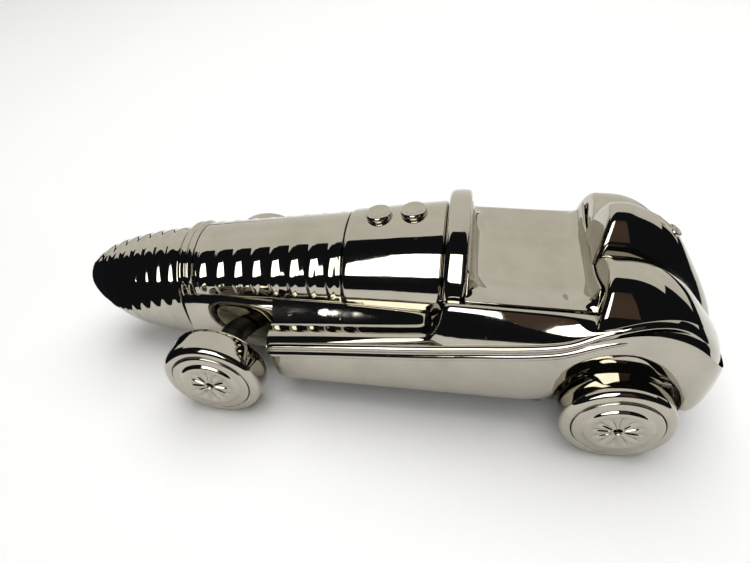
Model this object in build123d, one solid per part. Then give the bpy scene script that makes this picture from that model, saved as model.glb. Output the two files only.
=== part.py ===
"""Plated die-cast model of a long-bonnet grand prix racing car, as separate castings on two axles.

Axes: nose towards -X, tail towards +X, +Z up, wheels on Z = 0, Y = 0 is the plane of symmetry.
Stations along the car are measured from the middle of the wheelbase and shifted at the end, so that
the origin is under the middle of the car. Millimetres.
"""

import os
from math import atan2, cos, pi

from build123d import *

# wheels and axles
wheelbase = 153.0
wheel_radius = 20.0
wheel_width = 12.0
face_track = 90.0  # from one side's tyre face to the other's
tyre_bevel = 1.6
disc_radius = 15.6
disc_rise = 0.8  # in front of the tyre's face
disc_recess = 0.6  # of the disc's back, in from the tyre's back
crown_radius = 12.0
crown_rise = 0.9
hub_radius = 5.0
flute_count = 12
flute_start = 2.6
flute_end = 8.2
flute_width = 1.0
flute_depth = 0.5
centre_hole_radius = 1.3
axle_radius = 2.0
axle_recess = 2.4  # from the tyre's face in to the axle's end

# bearings
running_clearance = 0.05
bush_radius = 3.4
bush_length = 8.0
bush_flange_radius = 4.6
bush_flange = 1.0
beam_radius = 5.5
beam_bore_radius = 2.6
wheel_end_gap = 0.4  # between a bush's flange and the back of its wheel
saddle_length = 12.0
saddle_width = 11.0

# castings
wall = 2.2
well_wall = 1.3
fit_gap = 0.15  # between castings that sit in or on each other
scuttle_front_x = -26.0
hoop_front_x = 9.0
cockpit_front_x = 20.0
skirt_roundness = 0.42  # corner radius of the lower tail as a share of its height
floor_half_width = 30.0

# nose
nose_rib_count = 7
nose_rib_height = 0.9
nose_rib_width = 3.2
belly_z = 24.0

# bonnet, scuttle and hoop
louvre_count = 8
louvre_height = 1.3
louvre_width = 4.4
louvre_top_gap = 13.0  # plain strip along the crown, between the two rows
band_height = 1.3
band_rib_width = 2.2
scuttle_rise = 0.8
hoop_rise = 5.0
hoop_skirt = 6.0  # below the arch's foot, down to the body
arch_share = 0.86  # of an arch's height that is its half ellipse

# cockpit
cockpit_half_width = 25.5
cockpit_rim = 1.4
cockpit_corner = 5.0
cockpit_deck_z = 56.5
seat_thickness = 7.0
seat_lip = 0.6  # thickness where the seat lies on the deck
seat_sweep = 8.0  # radius of its upturned ends

# waist moulding
moulding_height = 7.0
moulding_ridge = 1.0
moulding_web = 0.4
moulding_groove = 0.12  # share of the height between the two ridges

# base
pan_thickness = 2.2
pan_wall = 1.6
pan_rim = 4.0
pan_gap = 0.3
screw_radius = 1.5
screw_length = 9.0
screw_head_radius = 2.8
screw_head_height = 1.4
screw_slot = 0.8
screw_sink = 0.1  # of a screw's head, in from the pan's underside
boss_radius = 3.0
rib_screw_x = -20.0
rib_screw_y = 20.0

# filler caps
scuttle_cap_radius = 5.0
scuttle_cap_spacing = 13.0
scuttle_cap_height = 1.5
scuttle_cap_x = -7.4
tail_cap_radius = 3.0
tail_cap_spacing = 7.6
tail_cap_height = 1.1
tail_cap_place = 24.0  # from the tail's front

axle_z = wheel_radius
wheel_face_y = face_track / 2
wheel_back_y = wheel_face_y - wheel_width
arch_radius = wheel_radius + 3.0
well_drop = 12.0  # how far the wheel wells run on downwards
liner_rim = 3.2  # width of the liner's edge round the wheel
sill_z = 17.0  # lower edge of the body beside the rear wheels
beam_half = wheel_back_y - wheel_end_gap - bush_flange
pan_top_z = axle_z - beam_radius
pan_bottom_z = pan_top_z - pan_thickness
front_axle_x = -wheelbase / 2
rear_axle_x = wheelbase / 2
nose_tip_x = front_axle_x - 69.5
band_front_x = front_axle_x - 18.5
bonnet_front_x = front_axle_x - 11.5
sill_front_x = front_axle_x + wheel_radius + 1.5
tail_front_x = rear_axle_x - 14.5
floor_opening_end_x = rear_axle_x + 19.5
tail_hollow_end_x = rear_axle_x + 27.5
tail_tip_x = rear_axle_x + 37.5
origin_x = (nose_tip_x + tail_tip_x) / 2

# Outlines of the castings, from nose to tail: station, top, bottom and half width.
nose_stations = (
    (nose_tip_x, 35.0, 29.0, 3.2),
    (nose_tip_x + 2.5, 40.5, 23.5, 8.0),
    (nose_tip_x + 8, 45.0, 18.5, 11.4),
    (nose_tip_x + 19, 50.2, 13.0, 14.8),
    (nose_tip_x + 34, 55.0, 9.8, 17.0),
    (band_front_x, 58.6, 9.2, 18.2),
)
# Station, crown height, half width and foot height of the arches over the engine.
arch_stations = (
    (band_front_x, 58.6, 17.4, 41.0),
    (bonnet_front_x, 60.2, 17.8, 41.8),
    (scuttle_front_x, 70.5, 20.0, 46.0),
    (hoop_front_x, 76.5, 22.2, 47.5),
    (cockpit_front_x, 77.5, 23.0, 48.0),
)
# Half outline of the engine hull, bottom to deck, at its two ends.
hull_front = ((9.0, 11.0), (13.5, 16.0), (17.0, 25.0), (18.0, 34.0), (17.4, 41.0))
hull_rear = ((14.0, 9.8), (19.0, 16.0), (20.8, 26.0), (20.6, 36.0), (18.8, 43.2))
# Half outline of the body between the axles: sill, panel, moulding, shelf, shelf, deck edge.
body_stations = (
    (sill_front_x, ((33.5, 12.0), (35.0, 21.0), (34.0, 31.0), (28.5, 34.5), (25.0, 35.5), (18.8, 43.2))),
    (hoop_front_x, ((34.0, 15.0), (36.0, 27.0), (35.0, 41.0), (30.5, 44.5), (27.0, 45.5), (22.2, 47.5))),
    (cockpit_front_x, ((34.0, 15.6), (36.2, 28.0), (35.4, 42.0), (34.4, 47.0), (33.0, 51.5), (30.4, cockpit_deck_z))),
    (tail_front_x + 2, ((34.0, 16.6), (36.4, 32.0), (35.6, 48.5), (34.6, 51.0), (33.2, 53.5), (30.4, cockpit_deck_z))),
)
# Station, middle line in Y and Z, half width and half height of each shoulder lobe of the tail.
shoulder_stations = (
    (tail_front_x, 19.0, 46.0, 17.0, 28.2),
    (tail_front_x + 16, 19.0, 45.5, 17.2, 27.5),
    (tail_front_x + 29, 18.0, 43.0, 16.8, 22.0),
    (tail_front_x + 39, 16.0, 40.5, 13.8, 13.5),
    (tail_front_x + 45.5, 13.5, 37.5, 6.0, 5.0),
)
# Station, half width, bottom and top of the lower tail.
skirt_stations = (
    (tail_front_x, 36.2, 16.6, 50.0),
    (tail_front_x + 28, 36.2, 17.0, 50.0),
    (tail_front_x + 38, 35.4, 18.0, 49.0),
    (tail_front_x + 43.5, 32.0, 24.0, 46.0),
    (tail_front_x + 47, 26.0, 29.0, 43.0),
    (tail_front_x + 49.5, 16.0, 33.0, 40.0),
)
# Station, half width, crown and middle height of the headrest fairing.
fairing_stations = (
    (tail_front_x, 11.5, 84.0, 56.0),
    (tail_front_x + 12, 12.0, 83.2, 55.0),
    (tail_front_x + 26, 11.5, 75.5, 50.0),
    (tail_front_x + 38, 9.5, 61.5, 42.0),
    (tail_front_x + 47, 6.5, 46.0, 34.5),
    (tail_tip_x, 2.2, 34.0, 31.0),
)
# Middle line of the waist moulding along the side.
waist_line = (
    (sill_front_x, 31.0),
    (-20.0, 36.0),
    (20.0, 42.0),
    (tail_front_x - 10, 47.5),
    (tail_front_x + 4, 55.0),
    (tail_front_x + 17, 59.0),
    (tail_front_x + 29, 56.5),
    (tail_front_x + 39, 49.0),
    (tail_front_x + 49, 37.0),
)


def plane_at(x):
    """Plane across the car at a station: local x is Y, local y is Z."""
    return Plane(origin=(x, 0, 0), x_dir=(0, 1, 0), z_dir=(1, 0, 0))


def slab(x0, x1, y0, y1, z0, z1):
    """Box between two corners."""
    size = (x1 - x0, y1 - y0, z1 - z0)
    return Pos((x0 + x1) / 2, (y0 + y1) / 2, (z0 + z1) / 2) * Box(*size)


def both_sides(shape):
    """The shape and its mirror image in the plane of symmetry."""
    return [shape, mirror(shape, about=Plane.XZ)]


def mirrored_outline(x, half):
    """Closed section from a half outline of (y, z) points, bottom to top."""
    right = [(x, y, z) for y, z in half]
    left = [(x, -y, z) for y, z in reversed(half)]
    return make_face(Polyline(*right, *left, close=True))


def across_y(radius, y0, y1, x=0.0, z=0.0):
    """Cylinder along Y."""
    turned = Rot(-90, 0, 0) * Cylinder(radius, y1 - y0, align=(Align.CENTER, Align.CENTER, Align.MIN))
    return Pos(x, y0, z) * turned


def ellipse_loft(sections):
    """Smooth loft through (x, y, z, half width, half height) ellipses."""
    faces = [plane_at(x) * Pos(y, z) * Ellipse(width, height) for x, y, z, width, height in sections]
    return loft(faces)


# ---------------------------------------------------------------- nose


def nose_form(grow, stations=nose_stations):
    """Nose outline, grown outwards all round."""
    sections = []
    for x, top, bottom, half_width in stations:
        sections.append((x, 0, (top + bottom) / 2, half_width + grow, (top - bottom) / 2 + grow))
    return ellipse_loft(sections)


def make_nose_cowl():
    """Hollow nose with raised ribs round its upper part."""
    nose = nose_form(0)
    first = nose_tip_x + 10.0
    pitch = (band_front_x - first) / (nose_rib_count + 0.5)
    ribs = nose_form(nose_rib_height)
    cutter = Part()
    for index in range(nose_rib_count):
        x = first + index * pitch
        cutter += slab(x, x + nose_rib_width, -40, 40, belly_z, 80)
    cowl = nose + (ribs & cutter)
    return cowl - nose_form(-wall, nose_stations[1:])


# ---------------------------------------------------------------- bonnet, scuttle, hoop


def arch_values(x):
    """Crown, half width and foot of the arch at any station, between the named ones."""
    before = arch_stations[0]
    for after in arch_stations[1:]:
        if x <= after[0]:
            break
        before = after
    part = (x - before[0]) / (after[0] - before[0])
    return [a + (b - a) * part for a, b in zip(before[1:], after[1:])]


def arch_section(x, grow, foot_drop):
    """Arch-shaped section: straight feet under a half ellipse."""
    crown, half_width, foot = arch_values(x)
    half_width += grow
    rise = (crown - foot) * arch_share + grow
    spring = crown + grow - rise
    low = foot - foot_drop
    with BuildSketch(plane_at(x)) as sketch:
        with BuildLine():
            Line((half_width, low), (half_width, spring))
            EllipticalCenterArc((0, spring), half_width, rise, start_angle=0, arc_size=180)
            Line((-half_width, spring), (-half_width, low))
            Line((-half_width, low), (half_width, low))
        make_face()
    return sketch.sketch


def arch_form(x0, x1, grow=0.0, foot_drop=0.0):
    """Solid arch between two stations."""
    return loft([arch_section(x0, grow, foot_drop), arch_section(x1, grow, foot_drop)], ruled=True)


def arch_shell(x0, x1, grow=0.0):
    """Arch with its inside taken out."""
    return arch_form(x0, x1, grow) - arch_form(x0, x1, -wall, 1.0)


def make_bonnet_band():
    """Strap over the joint between nose and bonnet, with two raised ribs."""
    band = arch_shell(band_front_x + fit_gap, bonnet_front_x - fit_gap, 0.2)
    length = bonnet_front_x - band_front_x
    for place in (0.1, 0.6):
        x = band_front_x + length * place
        band += arch_form(x, x + band_rib_width, band_height) - arch_form(x, x + band_rib_width, -wall, 1.0)
    return band


def make_bonnet():
    """Engine cover with a row of bulged louvres down each side."""
    bonnet = arch_shell(bonnet_front_x, scuttle_front_x - fit_gap)
    pitch = (scuttle_front_x - bonnet_front_x) / louvre_count
    _, _, foot = arch_values(scuttle_front_x)
    for index in range(louvre_count):
        x = bonnet_front_x + pitch * (index + 0.5) - louvre_width / 2
        bulge = arch_form(x, x + louvre_width, louvre_height) - arch_form(x, x + louvre_width, -wall / 2, 1.0)
        crown_gap = slab(x - 1, x + louvre_width + 1, -louvre_top_gap / 2, louvre_top_gap / 2, 0, 99)
        below = slab(x - 1, x + louvre_width + 1, -40, 40, 0, foot + 0.5)
        bonnet += bulge - crown_gap - below
    return bonnet


def make_scuttle():
    """Raised panel between the bonnet and the hoop."""
    return arch_shell(scuttle_front_x + fit_gap, hoop_front_x - fit_gap, scuttle_rise)


def make_cowl_hoop(body):
    """Thick hoop that frames the front of the cockpit and steps out onto the body."""
    x0 = hoop_front_x
    x1 = cockpit_front_x
    hoop = arch_form(x0, x1, hoop_rise, hoop_skirt)
    hoop -= arch_form(x0 - 1, x1 - wall, -wall, hoop_skirt + 2)
    return hoop - body


# ---------------------------------------------------------------- body


def waist_below(drop=0.0):
    """Everything under the waist line, lowered by a gap."""
    line = [(x, z - drop) for x, z in waist_line]
    start = (-200.0, line[0][1])
    end = (200.0, line[-1][1])
    profile = Polyline(start, *line, end, (200.0, -20.0), (-200.0, -20.0), close=True)
    return extrude(Plane.XZ * make_face(profile), amount=60, both=True)


def hull_form(inset):
    """Narrow hull under the bonnet, from the nose to behind the front axle."""
    sections = []
    for x, half in ((band_front_x, hull_front), (sill_front_x + inset, hull_rear)):
        sections.append(mirrored_outline(x, inset_outline(half, inset)))
    return loft(sections, ruled=True)


def inset_outline(half, inset):
    """Half outline drawn in by the wall, open at the bottom when it is inset."""
    if not inset:
        return half
    low = [(half[0][0] - inset, half[0][1] - 5)]
    return low + [(y - inset, z - (inset if (y, z) == half[-1] else 0)) for y, z in half]


def body_form(inset):
    """Body between the axles."""
    sections = [mirrored_outline(x, inset_outline(half, inset)) for x, half in body_stations]
    return loft(sections, ruled=True)


def shoulder_form(inset):
    """One shoulder lobe of the tail, on the +Y side."""
    return ellipse_loft([(x, y, z, w - inset, h - inset) for x, y, z, w, h in shoulder_stations])


def skirt_form(inset):
    """Lower tail between and behind the rear wheels."""
    faces = []
    for x, half_width, bottom, top in skirt_stations:
        height = top - bottom - 2 * inset
        radius = height * skirt_roundness
        outline = RectangleRounded(2 * (half_width - inset), height, radius)
        faces.append(plane_at(x) * Pos(0, (top + bottom) / 2) * outline)
    return loft(faces, ruled=True)


def tail_form(inset):
    """Whole tail without its headrest fairing."""
    tail = skirt_form(inset)
    for lobe in both_sides(shoulder_form(inset)):
        tail += lobe
    return tail


def outer_body():
    """Solid outline of everything that the two body castings enclose."""
    return hull_form(0) + body_form(0) + tail_form(0)


def body_hollow():
    """Space inside the body castings, open at the bottom."""
    hollow = hull_form(wall) & slab(band_front_x + wall, 0, -60, 60, 0, 99)
    hollow += body_form(wall) & slab(sill_front_x + wall, tail_front_x - wall, -60, 60, 0, 99)
    hollow += tail_form(wall) & slab(tail_front_x + wall, tail_hollow_end_x, -60, 60, 0, 99)
    return hollow + slab(0, floor_opening_end_x, -floor_half_width, floor_half_width, 0, 40)


def wheel_wells():
    """Cuts for the rear wheels, open towards the bottom."""
    cuts = Part()
    for well in both_sides(across_y(arch_radius, wheel_back_y - fit_gap, 60, rear_axle_x, axle_z)):
        cuts += well
        cuts += Pos(0, 0, -well_drop) * well
    return cuts


def well_liners():
    """Thin pans that close the rear wheel wells towards the inside."""
    inner = wheel_back_y - fit_gap
    outer = inner - well_wall
    pan = across_y(arch_radius + well_wall, outer, inner + liner_rim, rear_axle_x, axle_z)
    pan -= across_y(arch_radius, inner, 60, rear_axle_x, axle_z)
    pan -= slab(0, 200, 0, 60, -50, sill_z)
    return pan


def cockpit_outline(inset):
    """Rounded opening of the cockpit, looking down."""
    x0 = cockpit_front_x + cockpit_rim
    x1 = tail_front_x - cockpit_rim
    width = x1 - x0 - 2 * inset
    depth = 2 * (cockpit_half_width - inset)
    return Pos((x0 + x1) / 2, 0) * RectangleRounded(width, depth, cockpit_corner - inset)


def make_body_castings():
    """Upper body shell and lower body skirt, parted along the waist line."""
    outer = outer_body()
    shell = outer - body_hollow() - wheel_wells()
    for liner in both_sides(well_liners()):
        shell += liner & outer
    shell -= Pos(0, 0, cockpit_deck_z - seat_thickness) * extrude(cockpit_outline(0), amount=60)
    for x in (front_axle_x, rear_axle_x):
        shell -= across_y(beam_radius + fit_gap, -60, 60, x, axle_z)
    lower_zone = waist_below(fit_gap) & slab(sill_front_x + fit_gap, 150, -60, 60, -20, 99)
    upper_zone = waist_below() & slab(sill_front_x, 150, -60, 60, -20, 99)
    return shell - upper_zone, shell & lower_zone, outer


def make_cockpit_seat():
    """Saddle-shaped seat that plugs the cockpit opening and sweeps up at both ends."""
    low = cockpit_deck_z + fit_gap
    top = low + seat_lip
    x0 = cockpit_front_x + fit_gap
    x1 = tail_front_x - fit_gap
    bend = seat_sweep * (1 - cos(pi / 4))
    with BuildSketch(Plane.XZ) as profile:
        with BuildLine():
            Polyline((x0, top + seat_sweep), (x0, low), (x1, low), (x1, top + seat_sweep))
            ThreePointArc((x1, top + seat_sweep), (x1 - bend, top + bend), (x1 - seat_sweep, top))
            Line((x1 - seat_sweep, top), (x0 + seat_sweep, top))
            ThreePointArc((x0 + seat_sweep, top), (x0 + bend, top + bend), (x0, top + seat_sweep))
        make_face()
    saddle = extrude(profile.sketch, amount=cockpit_half_width - fit_gap, both=True)
    plug = Pos(0, 0, top - seat_thickness) * extrude(cockpit_outline(fit_gap), amount=seat_thickness)
    return saddle + plug


def fairing_form(inset, stations=fairing_stations):
    """Outline of the central fin of the tail."""
    sections = []
    for x, half_width, crown, middle in stations:
        sections.append((x, 0, middle, half_width - inset, crown - middle - inset))
    return ellipse_loft(sections)


def make_headrest_fairing(outer):
    """Hollow central fin of the tail, closed at the front as the seat's headrest."""
    hollow = fairing_form(wall, fairing_stations[:-2]) & slab(tail_front_x + wall, tail_tip_x, -60, 60, 0, 99)
    return fairing_form(0) - hollow - outer


def grown_body(grow):
    """Body outline from the sills' front end backwards, grown outwards."""
    return body_form(-grow) + tail_form(-grow)


def waist_band(low, high):
    """Band that follows the waist line, between two heights over it."""
    under = [(x, z + low) for x, z in waist_line]
    over = [(x, z + high) for x, z in reversed(waist_line)]
    return extrude(Plane.XZ * make_face(Polyline(*under, *over, close=True)), amount=60, both=True)


def make_mouldings(outer):
    """Strip with two ridges along the waist, on each side, over the joint of the two castings."""
    half = moulding_height / 2
    groove = moulding_height * moulding_groove / 2
    band = grown_body(moulding_web) & waist_band(-half, half)
    band += grown_body(moulding_ridge) & (waist_band(-half, -groove) + waist_band(groove, half))
    band -= outer
    room = slab(sill_front_x, waist_line[-2][0], fairing_stations[0][1] + 1, 60, 0, 99)
    return [band & room, band & mirror(room, about=Plane.XZ)]


# ---------------------------------------------------------------- base


def pan_outline():
    """Half outline of the base pan: station and half width."""
    rear = rear_axle_x + 18.0
    return (
        (band_front_x + wall + 0.6, 7.0),
        (sill_front_x - 2.0, 12.6),
        (sill_front_x + wall + pan_gap, 12.8),
        (sill_front_x + wall + pan_gap, 30.6),
        (hoop_front_x, 31.0),
        (rear_axle_x - arch_radius - 1.5, 31.0),
        (rear_axle_x - arch_radius - 1.5, 29.6),
        (rear, 29.6),
    )


def screw_places():
    """Where the base screws go: X and Y."""
    return (
        (front_axle_x - 10.2, 0.0),
        (rib_screw_x, rib_screw_y),
        (rib_screw_x, -rib_screw_y),
        (rear_axle_x + 12.8, 0.0),
    )


def pan_face():
    """Base pan seen from above."""
    half = pan_outline()
    return make_face(Polyline(*half, *[(x, -y) for x, y in reversed(half)], close=True))


def pan_clearance():
    """Room for the base pan in the castings, open below so that nothing curls under it."""
    return extrude(offset(pan_face(), pan_gap), amount=pan_top_z + pan_rim)


def make_base_pan():
    """Floor pan with an upturned rim."""
    outline = pan_face()
    pan = Pos(0, 0, pan_bottom_z) * extrude(outline, amount=pan_thickness + pan_rim)
    inside = offset(outline, -pan_wall)
    pan -= Pos(0, 0, pan_top_z) * extrude(inside, amount=pan_rim + 1)
    for x in (front_axle_x, rear_axle_x):
        pan -= across_y(beam_radius + fit_gap, -60, 60, x, axle_z)
    up = (Align.CENTER, Align.CENTER, Align.MIN)
    sunk = screw_head_height + screw_sink
    for x, y in screw_places():
        pan -= Pos(x, y, pan_bottom_z) * Cylinder(screw_radius + fit_gap, 2 * pan_thickness)
        pan -= Pos(x, y, pan_bottom_z) * Cylinder(screw_head_radius + fit_gap, sunk, align=up)
    return pan


def make_bosses(outer, places):
    """Screw posts inside a body casting, down to the pan."""
    posts = Part()
    for x, y in places:
        post = Pos(x, y, pan_top_z) * Cylinder(boss_radius, 60, align=(Align.CENTER, Align.CENTER, Align.MIN))
        posts += post & outer
    return posts


def screw_holes():
    """Pilot holes in the posts."""
    holes = Part()
    for x, y in screw_places():
        holes += Pos(x, y, pan_top_z + screw_length / 2) * Cylinder(screw_radius, screw_length + 2)
    return holes


def make_base_screws():
    """Slotted screws, sunk in the base pan, that hold it to the two body castings."""
    screws = []
    for x, y in screw_places():
        low = pan_bottom_z + screw_sink
        up = (Align.CENTER, Align.CENTER, Align.MIN)
        screw = Pos(x, y, low) * Cylinder(screw_head_radius, screw_head_height, align=up)
        screw += Pos(x, y, low) * Cylinder(screw_radius, screw_length + pan_thickness - 1, align=up)
        screw -= Pos(x, y, low) * Box(2 * screw_head_radius + 1, screw_slot, screw_head_height)
        screws.append(screw)
    return screws


# ---------------------------------------------------------------- filler caps


def cap_on_crown(x, crown, slope, radius, height):
    """Round cap with a raised rim, lying on a crown that falls at a slope."""
    up = (Align.CENTER, Align.CENTER, Align.MIN)
    cap = Cylinder(radius, height + 3, align=up)
    cap = fillet(cap.edges().group_by(Axis.Z)[-1], height * 0.45)
    dish = Pos(0, 0, height + 3 - 0.5) * Cylinder(radius * 0.55, 2, align=up)
    return Pos(x, 0, crown) * Rot(0, slope, 0) * Pos(0, 0, -3) * (cap - dish)


def make_scuttle_caps():
    """Pair of filler caps in line on the scuttle."""
    seat = arch_form(scuttle_front_x + fit_gap, hoop_front_x - fit_gap, scuttle_rise)
    caps = []
    for shift in (-scuttle_cap_spacing / 2, scuttle_cap_spacing / 2):
        x = scuttle_cap_x + shift
        before, _, _ = arch_values(x - 1)
        after, _, _ = arch_values(x + 1)
        slope = -atan2(after - before, 2) * 180 / pi
        crown = (before + after) / 2 + scuttle_rise
        caps.append(cap_on_crown(x, crown, slope, scuttle_cap_radius, scuttle_cap_height) - seat)
    return caps


def fairing_crown(x):
    """Height of the fairing's crown at a station."""
    before = fairing_stations[0]
    for after in fairing_stations[1:]:
        if x <= after[0]:
            break
        before = after
    part = (x - before[0]) / (after[0] - before[0])
    return before[2] + (after[2] - before[2]) * part


def make_tail_caps():
    """Pair of small filler caps in line on the falling part of the fairing."""
    seat = fairing_form(0)
    caps = []
    for shift in (-tail_cap_spacing / 2, tail_cap_spacing / 2):
        x = tail_front_x + tail_cap_place + shift * 0.8
        slope = atan2(fairing_crown(x - 2) - fairing_crown(x + 2), 4) * 180 / pi
        caps.append(cap_on_crown(x, fairing_crown(x) + 0.4, slope, tail_cap_radius, tail_cap_height) - seat)
    return caps


# ---------------------------------------------------------------- wheels and axles


def make_tyre():
    """Tyre ring with a bevelled outer edge, its face on Z = 0 and its back at -Z."""
    low = (Align.CENTER, Align.CENTER, Align.MAX)
    tyre = Cylinder(wheel_radius, wheel_width, align=low)
    tyre = chamfer(tyre.edges().group_by(Axis.Z)[-1], tyre_bevel)
    tyre = fillet(tyre.edges().group_by(Axis.Z)[0], tyre_bevel)
    return tyre - Cylinder(disc_radius, 3 * wheel_width)


def make_wheel_disc():
    """Stepped and fluted wheel disc with its hub, facing +Z."""
    up = (Align.CENTER, Align.CENTER, Align.MIN)
    down = (Align.CENTER, Align.CENTER, Align.MAX)
    thickness = wheel_width - disc_recess + disc_rise
    disc = Pos(0, 0, disc_recess - wheel_width) * Cylinder(disc_radius, thickness, align=up)
    disc = fillet(disc.edges().group_by(Axis.Z)[-1], disc_rise * 0.8)
    crown = Pos(0, 0, disc_rise) * Cylinder(crown_radius, crown_rise, align=up)
    disc += fillet(crown.edges().group_by(Axis.Z)[-1], crown_rise * 0.7)
    disc += Cylinder(hub_radius, wheel_width, align=down)
    top = disc_rise + crown_rise
    length = flute_end - flute_start
    for index in range(flute_count):
        groove = Pos((flute_start + flute_end) / 2, 0, top) * Box(length, flute_width, 2 * flute_depth)
        disc -= Rot(0, 0, 360 / flute_count * (index + 0.5)) * groove
    disc -= Cylinder(centre_hole_radius, 20)
    disc -= Pos(0, 0, -axle_recess) * Cylinder(axle_radius, wheel_width, align=down)
    return disc


def on_corner(piece, x, side):
    """Stand a wheel piece that faces +Z on its corner, facing outwards."""
    turn = Rot(-90, 0, 0) if side > 0 else Rot(90, 0, 0)
    return Pos(x, side * wheel_face_y, axle_z) * turn * piece


def make_axle(x):
    """Plain axle between the two wheels."""
    half = wheel_face_y - axle_recess
    return across_y(axle_radius, -half, half, x, axle_z)


def make_axle_beam(x):
    """Tube that carries the axle in two bushes, on a saddle on the base pan."""
    beam = across_y(beam_radius, -beam_half, beam_half, x, axle_z)
    beam += slab(x - saddle_length / 2, x + saddle_length / 2, -saddle_width / 2, saddle_width / 2, pan_top_z, axle_z)
    beam -= across_y(beam_bore_radius, -60, 60, x, axle_z)
    for seat in both_sides(across_y(bush_radius, beam_half - bush_length, 60, x, axle_z)):
        beam -= seat
    return beam


def make_bushes(x):
    """Two flanged bushes, one in each end of a beam."""
    bush = across_y(bush_radius, beam_half - bush_length, beam_half, x, axle_z)
    bush += across_y(bush_flange_radius, beam_half, beam_half + bush_flange, x, axle_z)
    bush -= across_y(axle_radius + running_clearance, 0, 60, x, axle_z)
    return both_sides(bush)


# ---------------------------------------------------------------- assembly


def make_pieces():
    """Every node and its solids."""
    shell, skirt, outer = make_body_castings()
    shell = shell - pan_clearance() + make_bosses(outer, screw_places()[:-1]) - screw_holes()
    skirt = skirt - pan_clearance() + make_bosses(outer, screw_places()[-1:]) - screw_holes()
    right, left = make_mouldings(outer)
    pieces = {
        "nose_cowl": [make_nose_cowl()],
        "bonnet_band": [make_bonnet_band()],
        "bonnet": [make_bonnet()],
        "scuttle": [make_scuttle()],
        "scuttle_filler_caps": make_scuttle_caps(),
        "cowl_hoop": [make_cowl_hoop(outer)],
        "body_shell": [shell],
        "body_skirt": [skirt],
        "cockpit_seat": [make_cockpit_seat()],
        "headrest_fairing": [make_headrest_fairing(outer)],
        "tail_filler_caps": make_tail_caps(),
        "waist_moulding_right": [right],
        "waist_moulding_left": [left],
        "base_pan": [make_base_pan()],
        "base_screws": make_base_screws(),
    }
    for end, x in (("front", front_axle_x), ("rear", rear_axle_x)):
        pieces[end + "_axle_beam"] = [make_axle_beam(x)]
        pieces[end + "_bushes"] = make_bushes(x)
        pieces[end + "_axle"] = [make_axle(x)]
        for hand, side in (("left", -1), ("right", 1)):
            pieces[f"{end}_{hand}_tyre"] = [on_corner(make_tyre(), x, side)]
            pieces[f"{end}_{hand}_wheel_disc"] = [on_corner(make_wheel_disc(), x, side)]
    return pieces


def main():
    """Write one STEP file for each node."""
    os.makedirs("parts", exist_ok=True)
    for name, shapes in make_pieces().items():
        solids = [solid for shape in shapes for solid in shape.solids()]
        node = Compound(children=[Pos(-origin_x, 0, 0) * solid for solid in solids])
        export_step(node, f"parts/{name}.step")
        print(name, len(solids), round(sum(solid.volume for solid in solids), 1))


if __name__ == "__main__":
    main()
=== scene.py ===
"""Mirror-plated model racing car: rounded castings, their finishes and a small studio round the CAD frame."""

from math import atan2, cos, pi, radians, sin, sqrt

import bmesh
import bpy
from bpy.props import FloatProperty, FloatVectorProperty, IntProperty, PointerProperty
from mathutils import Matrix, Vector


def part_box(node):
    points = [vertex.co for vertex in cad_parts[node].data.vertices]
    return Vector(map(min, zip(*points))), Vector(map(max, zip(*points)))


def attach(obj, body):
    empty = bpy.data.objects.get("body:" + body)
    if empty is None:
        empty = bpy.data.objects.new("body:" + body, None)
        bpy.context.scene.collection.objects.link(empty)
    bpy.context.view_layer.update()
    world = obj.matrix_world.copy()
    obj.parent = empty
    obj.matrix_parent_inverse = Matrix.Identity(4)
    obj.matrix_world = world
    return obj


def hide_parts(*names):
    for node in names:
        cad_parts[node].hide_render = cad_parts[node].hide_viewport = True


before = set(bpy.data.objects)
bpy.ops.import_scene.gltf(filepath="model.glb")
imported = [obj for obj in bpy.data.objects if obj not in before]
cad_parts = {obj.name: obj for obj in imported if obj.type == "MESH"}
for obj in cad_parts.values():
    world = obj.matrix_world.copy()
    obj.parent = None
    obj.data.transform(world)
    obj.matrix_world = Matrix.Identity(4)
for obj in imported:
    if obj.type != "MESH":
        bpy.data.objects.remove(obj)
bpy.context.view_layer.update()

bl_info = {
    "name": "Plated Racing Car",
    "version": (1, 0, 0),
    "blender": (4, 5, 0),
    "location": "View3D > Sidebar > Racing Car",
    "description": "Builds the castings, finishes and studio of a plated model racing car",
    "category": "Object",
}

MM = 0.001
FRONT_AXLE = sum(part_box("front_axle"), Vector()) / 2
REAR_AXLE = sum(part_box("rear_axle"), Vector()) / 2
MIDDLE = (FRONT_AXLE.x + REAR_AXLE.x) / 2
WHEEL_X = (REAR_AXLE.x - FRONT_AXLE.x) / 2 / MM
NOSE_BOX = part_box("nose_cowl")
BAND_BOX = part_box("bonnet_band")
BONNET_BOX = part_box("bonnet")
SCUTTLE_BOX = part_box("scuttle")
HOOP_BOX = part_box("cowl_hoop")
SEAT_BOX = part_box("cockpit_seat")
TYRE_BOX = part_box("front_left_tyre")

SILL_FRONT = -55.0
TAIL_FRONT = 62.0
WALL = 2.2
HOOP_SHIFT = 2.8
ARCH_RADIUS = 21.8
WELL_Y = 31.0

# Stations from nose to tail, in millimetres from the middle of the wheelbase.
NOSE = (
    (-146.0, 35.0, 29.0, 3.2),
    (-143.5, 40.5, 23.5, 8.0),
    (-138.0, 45.0, 18.5, 11.4),
    (-127.0, 50.2, 11.5, 15.3),
    (-112.0, 55.0, 8.2, 17.8),
    (-95.0, 58.6, 7.6, 19.0),
)
ARCH = (
    (-96.0, 58.4, 17.35, 40.9),
    (-88.0, 60.2, 17.8, 41.8),
    (-26.0, 70.5, 20.0, 46.0),
    (9.0, 76.5, 22.2, 47.5),
    (20.5, 77.5, 23.0, 48.0),
)
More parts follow.
